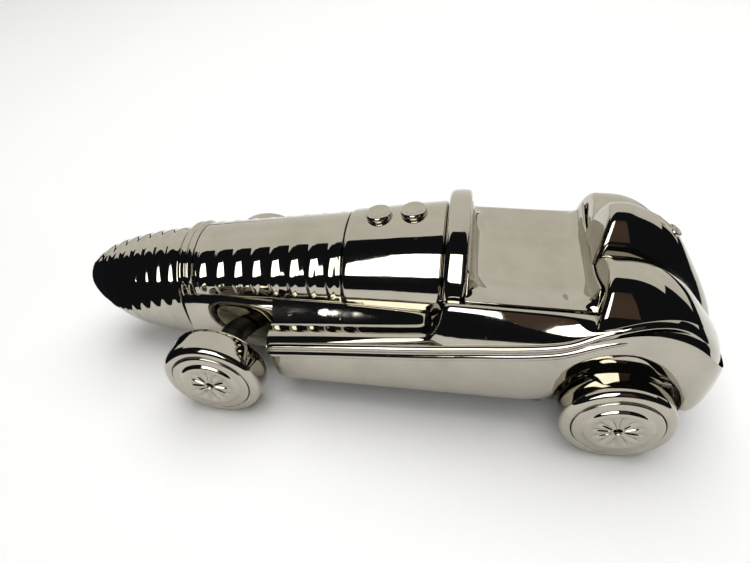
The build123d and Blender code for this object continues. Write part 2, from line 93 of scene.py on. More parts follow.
# Station, then the hull's half outline from keel to deck as (y, z) pairs.
HULL = (
    (-95.0, 9.0, 8.4, 15.5, 10.8, 18.9, 18.0, 18.9, 29.0, 18.2, 37.0, 17.0, 43.0),
    (-76.0, 10.0, 9.4, 17.0, 11.4, 20.5, 18.0, 20.3, 28.0, 18.9, 38.0, 17.5, 44.0),
    (-55.0, 10.0, 9.9, 19.0, 12.0, 22.6, 18.0, 22.4, 29.0, 20.2, 38.5, 18.4, 44.0),
    (-20.0, 10.0, 13.0, 17.0, 14.0, 21.4, 22.0, 22.4, 33.0, 21.0, 40.0, 19.4, 46.0),
    (12.0, 10.0, 15.0, 18.0, 16.0, 23.0, 25.0, 24.4, 36.0, 24.0, 44.5, 22.4, 50.0),
)
WAIST = (
    (-60.0, 30.6),
    (-55.0, 31.0),
    (-20.0, 36.0),
    (20.0, 42.0),
    (52.0, 47.5),
    (66.0, 55.0),
    (79.0, 59.0),
    (91.0, 56.5),
    (101.0, 49.0),
    (111.0, 37.0),
    (114.0, 33.5),
)
# Station, lobe's middle in y and z, half width and half height.
SHOULDERS = (
    (62.0, 19.0, 46.0, 17.2, 28.2),
    (78.0, 19.0, 45.5, 17.4, 27.5),
    (91.0, 18.0, 43.0, 17.0, 22.0),
    (101.0, 17.5, 40.0, 17.0, 13.4),
    (107.5, 15.5, 37.0, 13.6, 7.8),
    (110.6, 12.0, 35.4, 8.0, 4.6),
    (112.2, 9.0, 34.2, 4.0, 2.8),
)
FAIRING = (
    (62.0, 0.0, 56.0, 11.5, 28.0),
    (74.0, 0.0, 55.0, 12.0, 28.2),
    (88.0, 0.0, 50.0, 11.5, 25.5),
    (100.0, 0.0, 42.0, 9.5, 17.0),
    (109.0, 0.0, 34.5, 9.0, 9.5),
    (112.2, 0.0, 32.5, 7.0, 3.4),
)
# Plan of the lower body: station, half width and height of its lower edge.
PLAN = (
    (-54.95, 17.0, 12.0),
    (-54.95, 30.5, 12.0),
    (-54.2, 33.4, 12.2),
    (-50.0, 34.9, 12.4),
    (-30.0, 35.2, 13.2),
    (0.0, 35.8, 14.6),
    (30.0, 36.3, 15.9),
    (48.0, 36.4, 16.4),
    (101.8, 36.0, 19.0),
    (105.5, 33.8, 19.8),
    (109.0, 29.0, 21.8),
    (111.4, 21.0, 24.2),
    (112.6, 11.0, 25.6),
    (113.0, 0.0, 26.0),
)


def car(x, y, z):
    """Point of the car in metres, from its stations in millimetres."""
    return Vector((MIDDLE + x * MM, y * MM, z * MM))


def station(metres):
    """Station in millimetres of a place along the frame."""
    return (metres - MIDDLE) / MM


def smooth(value, low, high):
    """Soft step from 0 to 1."""
    part = min(1.0, max(0.0, (value - low) / (high - low)))
    return part * part * (3 - 2 * part)


def between(table, x):
    """A station table's values at any x, on a smooth curve through its rows."""
    last = len(table) - 2
    index = 0
    while index < last and x > table[index + 1][0]:
        index += 1
    before, after = table[index], table[index + 1]
    span = after[0] - before[0]
    part = min(1.0, max(0.0, (x - before[0]) / span))
    values = []
    for column in range(1, len(before)):
        slopes = []
        for row in (index, index + 1):
            left, right = table[max(row - 1, 0)], table[min(row + 1, last + 1)]
            slopes.append((right[column] - left[column]) / (right[0] - left[0]) * span)
        a, b = before[column], after[column]
        c = 3 * (b - a) - 2 * slopes[0] - slopes[1]
        d = slopes[0] + slopes[1] - 2 * (b - a)
        values.append(a + part * (slopes[0] + part * (c + part * d)))
    return values


def spread(low, high, step):
    """Evenly spaced places from low to high, no further apart than step."""
    count = max(1, round((high - low) / step))
    return [low + (high - low) * index / count for index in range(count + 1)]


# ---------------------------------------------------------------- shader maths


class Value:
    """A shader value that can be added, subtracted and multiplied as a number is."""

    def __init__(self, shader, socket):
        self.shader = shader
        self.socket = socket

    def _maths(self, operation, *values):
        return self.shader.add("ShaderNodeMath", {"operation": operation}, *values)

    def __add__(self, other):
        return self._maths("ADD", self, other)

    def __sub__(self, other):
        return self._maths("SUBTRACT", self, other)

    def __mul__(self, other):
        return self._maths("MULTIPLY", self, other)

    __radd__ = __add__
    __rmul__ = __mul__


class Shader:
    """A new material and the one method that adds its nodes."""

    def __init__(self, name):
        self.material = bpy.data.materials.new(name)
        self.material.use_nodes = True
        self.tree = self.material.node_tree
        self.surface = self.tree.nodes["Principled BSDF"]
        self.place = self.add("ShaderNodeTexCoord", {}, out="Object")

    def add(self, kind, settings, *values, out=0, **named):
        """Add a node: its settings first, then what its sockets get, in order or by name."""
        node = self.tree.nodes.new(kind)
        for key, value in settings.items():
            setattr(node, key, value)
        for key, value in [*enumerate(values), *named.items()]:
            self.feed(node.inputs[key.replace("_", " ") if isinstance(key, str) else key], value)
        return Value(self, node.outputs[out])

    def feed(self, socket, value):
        """Link a value to a socket, or set the socket to a constant."""
        if isinstance(value, Value):
            self.tree.links.new(value.socket, socket)
        else:
            socket.default_value = value

    def noise(self, scale, detail=2.0, roughness=0.5):
        """Cloudy value from 0 to 1 over the piece."""
        return self.add("ShaderNodeTexNoise", {}, Vector=self.place, Scale=scale, Detail=detail, Roughness=roughness)

    def ramp(self, value, low, high):
        """The value stretched so that low gives 0 and high gives 1."""
        return self.add("ShaderNodeMapRange", {}, value, low, high, 0.0, 1.0)

    def tint(self, factor, a, b):
        """One colour shading into another."""
        mix = self.tree.nodes.new("ShaderNodeMix")
        mix.data_type = "RGBA"
        self.feed(mix.inputs["Factor"], factor)
        self.feed(mix.inputs["A"], a)
        self.feed(mix.inputs["B"], b)
        return Value(self, mix.outputs["Result"])

    def bump(self, height, distance, under=None):
        """Relief of a height in metres."""
        named = {"Normal": under} if under else {}
        return self.add("ShaderNodeBump", {}, Height=height, Distance=distance, Strength=1.0, **named)

    def finish(self, **sockets):
        """Set the surface's sockets and hand over the material."""
        for key, value in sockets.items():
            self.feed(self.surface.inputs[key.replace("_", " ")], value)
        return self.material


def rgba(colour, gain=1.0):
    """Colour with an alpha, made lighter or darker."""
    return (*[channel * gain for channel in colour], 1.0)


def dark_plating(name, colour, ripple, haze):
    """Dark nickel mirror: slow ripples of the casting, faint smears and a few pinholes."""
    shader = Shader(name)
    smears = shader.ramp(shader.noise(55.0, 4.0, 0.6), 0.45, 0.75)
    dust = shader.ramp(shader.noise(1400.0, 2.0, 0.7), 0.66, 0.78)
    tone = shader.tint(smears, rgba(colour), rgba(colour, 0.86))
    slow = shader.noise(70.0, 1.5, 0.4)
    fine = shader.noise(420.0, 2.0, 0.5)
    pits = shader.ramp(shader.noise(900.0, 1.0, 0.5), 0.76, 0.82)
    waves = shader.bump(slow, ripple * MM)
    skin_relief = shader.bump(fine - 1.5 * pits, 0.004 * MM, waves)
    rough = 0.035 + haze * smears + 0.10 * dust
    return shader.finish(Base_Color=tone, Metallic=1.0, Roughness=rough, Normal=skin_relief)


def plain_casting(name, colour):
    """Satin grey casting with a sandy skin."""
    shader = Shader(name)
    grain = shader.noise(1100.0, 3.0, 0.6)
    stains = shader.ramp(shader.noise(90.0, 3.0, 0.6), 0.4, 0.7)
    tone = shader.tint(stains, rgba(colour), rgba(colour, 0.7))
    return shader.finish(
        Base_Color=tone, Metallic=1.0, Roughness=0.36 + 0.14 * stains, Normal=shader.bump(grain, 0.05 * MM)
    )


def turned_metal(name, colour):
    """Lathe-turned metal with fine rings along its length."""
    shader = Shader(name)
    rings = shader.add("ShaderNodeTexWave", {"bands_direction": "Y"}, Vector=shader.place, Scale=900.0, Distortion=0.6)
    dull = shader.ramp(shader.noise(160.0, 3.0, 0.6), 0.4, 0.7)
    tone = shader.tint(dull, rgba(colour), rgba(colour, 0.8))
    return shader.finish(
        Base_Color=tone, Metallic=1.0, Roughness=0.2 + 0.15 * dull, Normal=shader.bump(rings, 0.006 * MM)
    )


def pale_ground(name, colour):
    """Matt white cloth or card with a very fine weave."""
    shader = Shader(name)
    weave = shader.noise(1500.0, 1.0, 0.5)
    tone = shader.tint(shader.noise(6.0, 2.0, 0.5), rgba(colour), rgba(colour, 0.985))
    return shader.finish(Base_Color=tone, Roughness=0.9, Normal=shader.bump(weave, 0.05 * MM))


def glow(name, colour, strength):
    """Evenly lit panel."""
    shader = Shader(name)
    return shader.finish(Base_Color=(0, 0, 0, 1), Emission_Color=rgba(colour), Emission_Strength=strength)


FINISHES = {}


def finish_of(name):
    """A finish by name, made once from the colours in the panel."""
    if name not in FINISHES:
        look = bpy.context.scene.car_finishes
        plating = tuple(look.plating)
        makers = {
            "dark_plating": lambda: dark_plating(name, plating, look.ripple, 0.05),
            "tyre_plating": lambda: dark_plating(name, plating, look.ripple * 0.8, 0.08),
            "plain_casting": lambda: plain_casting(name, tuple(look.casting)),
            "bright_steel": lambda: turned_metal(name, tuple(look.steel)),
            "bearing_brass": lambda: turned_metal(name, tuple(look.brass)),
        }
        FINISHES[name] = makers[name]()
    return FINISHES[name]


# ---------------------------------------------------------------- modelling helpers


def skin(bm, rows, cols, place):
    """Bend a fresh grid so that each of its points lies where place(row, column) says."""
    points = bmesh.ops.create_grid(bm, x_segments=rows, y_segments=cols, size=0.5)["verts"]
    for point in points:
        point.co = place(round((point.co.x + 0.5) * rows), round((point.co.y + 0.5) * cols))
    bmesh.ops.remove_doubles(bm, verts=points, dist=1e-7)


def keep(bm, name, nodes, finish, body="chassis", levels=1, thickness=0.0):
    """Make the mesh a piece that rides on its body and stands for its CAD nodes."""
    bmesh.ops.recalc_face_normals(bm, faces=bm.faces)
    mesh = bpy.data.meshes.new(name)
    bm.to_mesh(mesh)
    bm.free()
    mesh.shade_smooth()
    mesh.materials.append(finish_of(finish))
    piece = bpy.data.objects.new(name, mesh)
    bpy.context.scene.collection.objects.link(piece)
    if thickness:
        wall = piece.modifiers.new("wall", "SOLIDIFY")
        wall.thickness = thickness * MM
        wall.offset = -1.0
    if levels:
        rounding = piece.modifiers.new("rounding", "SUBSURF")
        rounding.levels = levels
        rounding.render_levels = levels
    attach(piece, body)
    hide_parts(*nodes)
    return piece


def arch_point(x, grow, around):
    """Point on an arch: around runs from -1 at one foot over the crown to 1 at the other."""
    crown, half_width, foot = between(ARCH, x)
    half_width += grow
    rise = (crown - foot) * 0.86 + grow
    spring = crown + grow - rise
    straight = 0.12
    share = abs(around)
    if share > 1 - straight:
        z = spring + (foot - spring) * (share - 1 + straight) / straight
        y = half_width
    else:
        angle = share / (1 - straight) * pi / 2
        y = half_width * sin(angle)
        z = spring + rise * cos(angle)
    return y if around > 0 else -y, z


def arch_stations(x0, x1, radius, step, height):
    """Stations with rounded ends: place along the car, and how far the outside is drawn in there."""
    turn = [k * pi / 8 for k in range(5)]
    start = [(x0 + radius * (1 - cos(a)), radius * (1 - sin(a))) for a in turn]
    middle = [(x, 0.0) for x in spread(x0 + radius, x1 - radius, step)[1:-1]]
    end = [(x1 - radius * (1 - cos(a)), radius * (1 - sin(a))) for a in reversed(turn)]
    halfway = (height + radius) / 2
    return [(x0, height), (x0, halfway), *start, *middle, *end, (x1, halfway), (x1, height)]


def arch_piece(bm, stations, relief, wall=WALL, around_step=0.03):
    """Closed arch with a wall: the outside follows relief(x, around), the inside is plain."""
    outside = spread(-1.0, 1.0, around_step)
    inside = list(reversed(spread(-1.0, 1.0, 0.12)))
    loop = [(a, True) for a in outside] + [(a, False) for a in inside] + [(outside[0], True)]

    def place(row, col):
        x, drawn = stations[row]
        around, is_outside = loop[col]
        ends = row in (0, len(stations) - 1)
        grow = relief(x, around) - drawn
        if not is_outside:
            grow = min(-wall, grow)
        y, z = arch_point(x, grow, around)
        return car(x, y, z)

    skin(bm, len(stations) - 1, len(loop) - 1, place)
    bmesh.ops.holes_fill(bm, edges=bm.edges, sides=0)


def lobe(bm, table, lean, radius, side=1, turns=56):
    """Egg-shaped lobe of the tail with a rounded front edge, leaning back towards its top."""
    first, last = table[0][0], table[-1][0]
    rows = [(first, share) for share in (0.0, 0.35, 0.7)]
    for k in range(6):
        angle = k * pi / 10
        rows.append((first + radius * (1 - cos(angle)), -radius * (1 - sin(angle))))
    rows += [(x, 0.0) for x in spread(first + radius, last, 1.6)[1:]]
    for k in range(1, 5):
        angle = k * pi / 8
        rows.append((last + 0.6 * sin(angle), cos(angle) if k < 4 else 0.0))
    end = len(rows) - 4

    def place(row, col):
        x, inset = rows[row]
        y0, z0, half_width, half_height = between(table, min(x, last))
        if row < 3:
            half_width = (half_width - radius) * inset
            half_height = (half_height - radius) * inset
        elif row >= end:
            half_width *= inset
            half_height *= inset
        else:
            half_width += inset
            half_height += inset
        angle = 2 * pi * col / turns
        y = y0 + half_width * sin(angle)
        z = z0 + half_height * cos(angle)
        back = lean * max(0.0, (z - z0) / table[0][4]) ** 2 * (1 - smooth(x, first, first + 14))
        return car(x + back, side * y, z)

    skin(bm, len(rows) - 1, turns, place)


def lathe(bm, profile, centre, side, steps=96):
    """Spin a profile of (radius, depth) pairs about the car's cross axis at a wheel centre."""
    points = [bm.verts.new(centre + Vector((0, -side * depth, radius)) * MM) for radius, depth in profile]
    edges = [bm.edges.new(pair) for pair in zip(points, points[1:])]
    bmesh.ops.spin(
        bm, geom=points + edges, cent=centre, axis=(0, 1, 0), angle=2 * pi, steps=steps, use_merge=True
    )
    bmesh.ops.remove_doubles(bm, verts=bm.verts, dist=1e-7)


# ---------------------------------------------------------------- sizes and finishes in the panel


class CarShapes(bpy.types.PropertyGroup):
    """Sizes of the rounded details."""

    nose_rib: FloatProperty(name="Nose rib", description="Height of the ribs round the nose", default=0.5)
    louvre: FloatProperty(name="Louvre", description="Height of the bonnet's louvres", default=0.95)
    band_rib: FloatProperty(name="Band rib", description="Height of the two ribs of the bonnet band", default=1.1)
    flutes: IntProperty(name="Flutes", description="Number of flutes in a wheel's centre", default=12, min=3)
    nose_ribs: IntProperty(name="Nose ribs", description="Number of ribs round the nose", default=7, min=1)
    louvres: IntProperty(name="Louvres", description="Number of louvres on each side", default=8, min=1)


class CarFinishes(bpy.types.PropertyGroup):
    """Colours of the metals and the ground, and the depth of the plating's ripples."""

    plating: FloatVectorProperty(
        name="Plating", description="Dark nickel plating", subtype="COLOR", default=(0.47, 0.445, 0.38), min=0, max=1
    )
    casting: FloatVectorProperty(
        name="Casting", description="Castings under the car", subtype="COLOR", default=(0.16, 0.155, 0.15), min=0, max=1
    )
    steel: FloatVectorProperty(
        name="Steel", description="Axles and screws", subtype="COLOR", default=(0.55, 0.55, 0.54), min=0, max=1
    )
    brass: FloatVectorProperty(
        name="Brass", description="Axle bushes", subtype="COLOR", default=(0.69, 0.54, 0.28), min=0, max=1
    )
    ground: FloatVectorProperty(
        name="Ground", description="Floor and backdrop", subtype="COLOR", default=(0.92, 0.915, 0.90), min=0, max=1
    )
    ripple: FloatProperty(name="Ripple", description="Depth of the slow ripples of the surface in mm", default=0.18)


# ---------------------------------------------------------------- pieces


class CAR_OT_nose(bpy.types.Operator):
    """Ribbed nose cowl"""

    bl_idname = "car.nose"
    bl_label = "Nose"

    def execute(self, context):
        shapes = context.scene.car_shapes
        tip = NOSE[1][0]
        cap = [(tip - 2.5 * cos(k * pi / 14), sin(k * pi / 14)) for k in range(7)]
        rows = cap + [(x, 1.0) for x in spread(tip, station(NOSE_BOX[1].x), 0.7)] + [(station(NOSE_BOX[1].x), 0.6)]
        first = NOSE[0][0] + 9.0
        pitch = (NOSE[-1][0] - first) / (shapes.nose_ribs + 0.3)
        turns = 96
        boxy = 0.8

        def place(row, col):
            x, share = rows[row]
            top, bottom, half_width = between(NOSE, max(x, tip))
            angle = 2 * pi * col / turns
            up, out = cos(angle), sin(angle)
            if up < 0:
                up, out = -(abs(up) ** boxy), abs(out) ** boxy * (1 if out > 0 else -1)
            z = (top + bottom) / 2 + (top - bottom) / 2 * share * up
            y = half_width * share * out
            along = (x - first) / pitch
            if 0 < along < shapes.nose_ribs and share == 1.0:
                part = along % 1.0
                ridge = sin(pi * min(1.0, part / 0.8)) ** 1.2 if part < 0.8 else 0.0
                grow = shapes.nose_rib * ridge * smooth(z, 19.0, 27.0) * (1 - 0.3 * smooth(up, 0.6, 1.0))
                y += grow * sin(angle)
                z += grow * cos(angle)
            return car(x, y, z)

        bm = bmesh.new()
        skin(bm, len(rows) - 1, turns, place)
        bmesh.ops.holes_fill(bm, edges=bm.edges, sides=0)
        keep(bm, "nose_cowl_finish", ["nose_cowl"], "dark_plating")
        return {"FINISHED"}


class CAR_OT_band(bpy.types.Operator):
    """Band with two ribs between nose and bonnet"""

    bl_idname = "car.band"
    bl_label = "Bonnet band"

    def execute(self, context):
        height = context.scene.car_shapes.band_rib
        x0, x1 = station(BAND_BOX[0].x), station(BAND_BOX[1].x)
        stations = arch_stations(x0, x1, 0.5, 0.25, WALL)

        def relief(x, around):
            part = (x - x0) / (x1 - x0) * 2 % 1.0
            return 0.1 + height * sin(pi * part) ** 1.5

        bm = bmesh.new()
        arch_piece(bm, stations, relief)
        keep(bm, "bonnet_band_finish", ["bonnet_band"], "dark_plating")
        return {"FINISHED"}


class CAR_OT_bonnet(bpy.types.Operator):
    """Bonnet with a row of louvres down each side"""

    bl_idname = "car.bonnet"
    bl_label = "Bonnet"

    def execute(self, context):
        shapes = context.scene.car_shapes
        x0, x1 = station(BONNET_BOX[0].x), station(BONNET_BOX[1].x)
        pitch = (x1 - x0) / shapes.louvres
        stations = arch_stations(x0, x1, 0.5, 0.45, WALL)

        def relief(x, around):
            along = ((x - x0) / pitch) % 1.0
            up = (1 - abs(around) - 0.08) / 0.66
            if not 0 < up < 1:
                return 0.0
            lens = (1 - (2 * up - 1) ** 2) ** 0.5
            part = (along - 0.5) / (0.31 * lens)
            if abs(part) >= 1:
                return 0.0
            lean = (part + 1) / 2
            return shapes.louvre * (1 - 0.7 * up) * lens ** 0.7 * sin(pi * lean ** 0.8) ** 1.1

        bm = bmesh.new()
        arch_piece(bm, stations, relief, around_step=0.022)
        keep(bm, "bonnet_finish", ["bonnet"], "dark_plating")
        return {"FINISHED"}


class CAR_OT_scuttle(bpy.types.Operator):
    """Raised scuttle panel"""

    bl_idname = "car.scuttle"
    bl_label = "Scuttle"

    def execute(self, context):
        x0, x1 = station(SCUTTLE_BOX[0].x), station(SCUTTLE_BOX[1].x)
        bm = bmesh.new()
        arch_piece(bm, arch_stations(x0, x1 + HOOP_SHIFT, 1.5, 0.8, WALL), lambda x, around: 0.8)
        keep(bm, "scuttle_finish", ["scuttle"], "dark_plating")
        return {"FINISHED"}


class CAR_OT_hoop(bpy.types.Operator):
    """Thick hoop in front of the cockpit"""

    bl_idname = "car.hoop"
    bl_label = "Cowl hoop"

    def execute(self, context):
        x0, x1 = station(HOOP_BOX[0].x), station(HOOP_BOX[1].x)
        stations = arch_stations(x0 + HOOP_SHIFT, x1, 2.0, 0.6, 6.0)

        bm = bmesh.new()
        arch_piece(bm, stations, lambda x, around: 4.9, wall=4.0)
        keep(bm, "cowl_hoop_finish", ["cowl_hoop"], "dark_plating")
        return {"FINISHED"}


class CAR_OT_body(bpy.types.Operator):
    """Upper body: engine hull, shelf and cockpit sides"""

    bl_idname = "car.body"
    bl_label = "Body shell"

    def execute(self, context):
        bm = bmesh.new()
        rows = spread(HULL[0][0] + 0.3, 12.0, 4.0)
        half = len(HULL[0]) // 2

        def hull(row, col):
            values = between(HULL, rows[row])
            index = col % (2 * half)
            side = 1 if index < half else -1
            index = index if side > 0 else 2 * half - 1 - index
            return car(rows[row], side * values[2 * index], values[2 * index + 1])

        skin(bm, len(rows) - 1, 2 * half, hull)
        stations = [SILL_FRONT + 0.2, SILL_FRONT + 1.0, -50.0, -38.0, -24.0, -10.0, 2.0, 6.0, 8.5, 11.0, 13.5, 17.0]
        stations += [24.0, 32.0, 42.0, 52.0, 60.0, 64.0, 70.0]
        outlines = [body_outline(x) for x in stations]
        count = len(outlines[0])

        def deck(row, col):
            side = -1 if col < count else 1
            index = col if col < count else 2 * count - 2 - col
            y, z = outlines[row][index]
            return car(stations[row], side * y, z)

        skin(bm, len(stations) - 1, 2 * count - 2, deck)
        keep(bm, "body_shell_finish", ["body_shell"], "dark_plating", levels=3)
        return {"FINISHED"}


def body_outline(x):
    """Half outline of the upper body from the waist to the middle of the deck."""
    waist, = between(WAIST, x)
    _, arch_y, foot = between(ARCH, x)
    out = 2 * smooth(x, SILL_FRONT, 9.0)
    engine = [(34.2, waist + 0.4), (33.0, waist + 2.6), (30.4 + out, waist + 4.0), (29.4 + out, waist + 4.3)]
    engine += [(25.2 + out, waist + 4.6), (24.2 + out, waist + 5.0)]
    engine += [((24.2 + out + arch_y) / 2, (waist + 5.0 + foot) / 2), (arch_y - 0.3, foot), (arch_y - 4, foot)]
    engine += [(12.0, foot), (0.0, foot)]
    low = waist + 3.5
    rise = 59.4 - low
    cockpit = [(35.8, waist + 0.5), (35.3, low), (34.4, low + rise * 0.3), (33.0, low + rise * 0.6)]
    cockpit += [(31.7, low + rise * 0.82), (30.9, low + rise * 0.95), (30.2, 59.4), (28.9, 59.9), (26.8, 58.3)]
    cockpit += [(14.0, 55.2), (0.0, 55.0)]
    part = smooth(x, 6.5, 13.5)
    return [(a + (c - a) * part, b + (d - b) * part) for (a, b), (c, d) in zip(engine, cockpit)]


class CAR_OT_shoulders(bpy.types.Operator):
    """Rear shoulders of the body"""

    bl_idname = "car.shoulders"
    bl_label = "Shoulders"

    def execute(self, context):
        bm = bmesh.new()
        for side in (-1, 1):
            lobe(bm, SHOULDERS, 3.0, 2.2, side)
        keep(bm, "shoulders_finish", ["body_shell"], "dark_plating", levels=1)
        return {"FINISHED"}


class CAR_OT_skirt(bpy.types.Operator):
    """Lower body round the sills, the rear wheels and the tail"""

    bl_idname = "car.skirt"
    bl_label = "Body skirt"

    def execute(self, context):
        path = skirt_path()
        bm = bmesh.new()
        count = 8

        def place(row, col):
            x, y, low, out_x, out_y, side = path[row]
            top = between(WAIST, max(x, SILL_FRONT))[0] + 0.3
            profile = ((4.2, low + 2.0), (3.6, low + 0.1), (1.4, low), (0.5, low + (top - low) * 0.16))
            profile += ((0.1, low + (top - low) * 0.38), (-0.1, low + (top - low) * 0.62), (0.0, top - 2.5), (0.4, top))
            inset, z = profile[col]
            return car(x - out_x * inset, side * (y - out_y * inset), z)

        skin(bm, len(path) - 1, count - 1, place)
        keep(bm, "body_skirt_finish", ["body_skirt"], "dark_plating", levels=3)
        bm = bmesh.new()
        well = ((4.5, 0.0), (12.0, 0.0), (19.5, 0.0), (21.0, 0.5), (ARCH_RADIUS, 2.0), (ARCH_RADIUS, 4.4))
        for side in (-1, 1):

            def liner(row, col):
                angle = (row / 48 * 2 - 1) * (pi / 2 + 0.12)
                reach, out = well[col]
                x = WHEEL_X + reach * sin(angle)
                return car(x, side * (WELL_Y + out), REAR_AXLE.z / MM + reach * cos(angle))

            skin(bm, 48, len(well) - 1, liner)
        keep(bm, "wheel_wells_finish", ["body_skirt"], "dark_plating", levels=1)
        return {"FINISHED"}


def skirt_path():
    """Plan of the skirt from one sill's front round the tail to the other: place, lower edge and outward direction."""
    arch_radius = ARCH_RADIUS
    axle_z = REAR_AXLE.z / MM
    half = []
    for x, y, low in PLAN:
        if half and half[-1][0] < WHEEL_X < x:
            for k in range(17):
                angle = pi / 2 - k * pi / 16
                arch_x = WHEEL_X - arch_radius * sin(angle)
                arch_z = axle_z + arch_radius * cos(angle)
                half.append((arch_x, 36.4, arch_z))
        half.append((x, y, low))
    full = [(x, y, low, -1) for x, y, low in half] + [(x, y, low, 1) for x, y, low in reversed(half[:-1])]
    path = []
    for index, (x, y, low, side) in enumerate(full):
        before = full[max(index - 1, 0)]
        after = full[min(index + 1, len(full) - 1)]
        dx = after[0] - before[0]
        dy = after[1] * after[3] - before[1] * before[3]
        length = sqrt(dx * dx + dy * dy)
        out_x, out_y = -(dy / length), (dx / length) * side
        if out_x * (x - 30) < 0 and abs(out_x) > 0.3:
            out_x = -out_x
        path.append((x, y, low, out_x, abs(out_y), side))
    return path


class CAR_OT_mouldings(bpy.types.Operator):
    """Double-ridged moulding along the waist of each side"""

    bl_idname = "car.mouldings"
    bl_label = "Waist mouldings"

    def execute(self, context):
        for name, side in (("left", -1), ("right", 1)):
            stations = spread(SILL_FRONT + 0.4, 109.0, 3.0)
            profile = ((-4.2, -1.2), (-3.7, 0.3), (-2.9, 1.0), (-1.6, 0.9), (-0.6, 0.15), (0.3, 0.1))
            profile += ((1.3, 0.9), (2.5, 1.0), (3.4, 0.3), (4.0, -1.2), (0.0, -2.2), (-4.2, -1.2))

            def place(row, col):
                x = stations[row]
                waist, = between(WAIST, x)
                height, out = profile[col]
                z = waist + height
                return car(x, side * (waist_y(x, z) + out), z)

            bm = bmesh.new()
            skin(bm, len(stations) - 1, len(profile) - 1, place)
            bmesh.ops.holes_fill(bm, edges=bm.edges, sides=0)
            keep(bm, f"waist_moulding_{name}_finish", [f"waist_moulding_{name}"], "dark_plating", levels=2)
        return {"FINISHED"}


def waist_y(x, z):
    """Half width of the body's side at a height near the waist."""
    side = 34.4 + 1.6 * smooth(x, -55.0, 20.0)
    y0, z0, half_width, half_height = between(SHOULDERS, min(max(x, 62.0), 110.0))
    inside = 1 - min(0.98, max(-0.5, (z - z0) / half_height)) ** 2
    lobe_y = y0 + half_width * sqrt(max(inside, 0.0))
    return side + (lobe_y - side) * smooth(x, 50.0, 66.0)


class CAR_OT_cockpit(bpy.types.Operator):
    """Saddle-shaped cockpit floor that sweeps up to the hoop and to the tail"""

    bl_idname = "car.cockpit"
    bl_label = "Cockpit"

    def execute(self, context):
        low, high = station(SEAT_BOX[0].x) - 0.4, station(SEAT_BOX[1].x) + 1.5
        floor, rim, half_width = 56.3, 3.4, 28.4
        sweeps = ((low, 11.0, 20.0, 27.5), (high, 9.0, 25.0, 28.2))
        stations = spread(low, high, 0.7)
        columns = 60

        def place(row, col):
            x = stations[row]
            y = (col / columns * 2 - 1) * half_width
            z = floor + rim * smooth(abs(y), 13.0, half_width)
            for end, radius, fade_start, fade_end in sweeps:
                depth = abs(x - end)
                if depth < radius:
                    lift = radius - sqrt(radius**2 - (radius - depth) ** 2)
                    z += lift * (1 - smooth(abs(y), fade_start, fade_end))
            return car(x, y, z)

        bm = bmesh.new()
        skin(bm, len(stations) - 1, columns, place)
        keep(bm, "cockpit_seat_finish", ["cockpit_seat"], "dark_plating", thickness=0.8)
        return {"FINISHED"}


class CAR_OT_fairing(bpy.types.Operator):
    """Headrest fairing down the middle of the tail"""

    bl_idname = "car.fairing"
    bl_label = "Headrest fairing"

    def execute(self, context):
        bm = bmesh.new()
        lobe(bm, FAIRING, 4.0, 2.2)
        keep(bm, "headrest_fairing_finish", ["headrest_fairing"], "dark_plating")
        return {"FINISHED"}


class CAR_OT_caps(bpy.types.Operator):
    """Round filler caps on the scuttle and on the fairing"""

    bl_idname = "car.caps"
    bl_label = "Filler caps"

    def execute(self, context):
        for name, radius, height, sunk in (("scuttle", 5.0, 1.5, 0.0), ("tail", 2.7, 0.7, 2.2)):
            low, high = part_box(f"{name}_filler_caps")
            slope = atan2(high.z - low.z - height * MM, high.x - low.x) * 0.7
            slope = -slope if name == "scuttle" else slope * 1.3
            bm = bmesh.new()
            for end in (0, 1):
                x = (low.x + radius * MM) if end == 0 else (high.x - radius * MM)
                rising = end if name == "scuttle" else 1 - end
                top = high.z - (1 - rising) * ((high.z - low.z) * 0.42) - sunk * MM
                share = ((1.0, -2.0), (1.0, height * 0.55), (0.9, height * 0.92), (0.76, height), (0.64, height * 0.84))
                share += ((0.56, height * 0.6), (0.3, height * 0.62), (0.0, height * 0.64))
                made = [bm.verts.new((r * radius * MM, 0, (h - height) * MM)) for r, h in share]
                edges = [bm.edges.new(pair) for pair in zip(made, made[1:])]
                bmesh.ops.spin(
                    bm, geom=made + edges, cent=(0, 0, 0), axis=(0, 0, 1), angle=2 * pi, steps=40, use_merge=True
                )
                fresh = [v for v in bm.verts if not v.tag]
                turn = Matrix.Translation((x, 0, top)) @ Matrix.Rotation(slope, 4, "Y")
                bmesh.ops.transform(bm, matrix=turn, verts=fresh)
                for vert in bm.verts:
                    vert.tag = True
            bmesh.ops.remove_doubles(bm, verts=bm.verts, dist=1e-7)
            bmesh.ops.holes_fill(bm, edges=bm.edges, sides=0)
            keep(bm, f"{name}_filler_caps_finish", [f"{name}_filler_caps"], "dark_plating", levels=2)
        return {"FINISHED"}


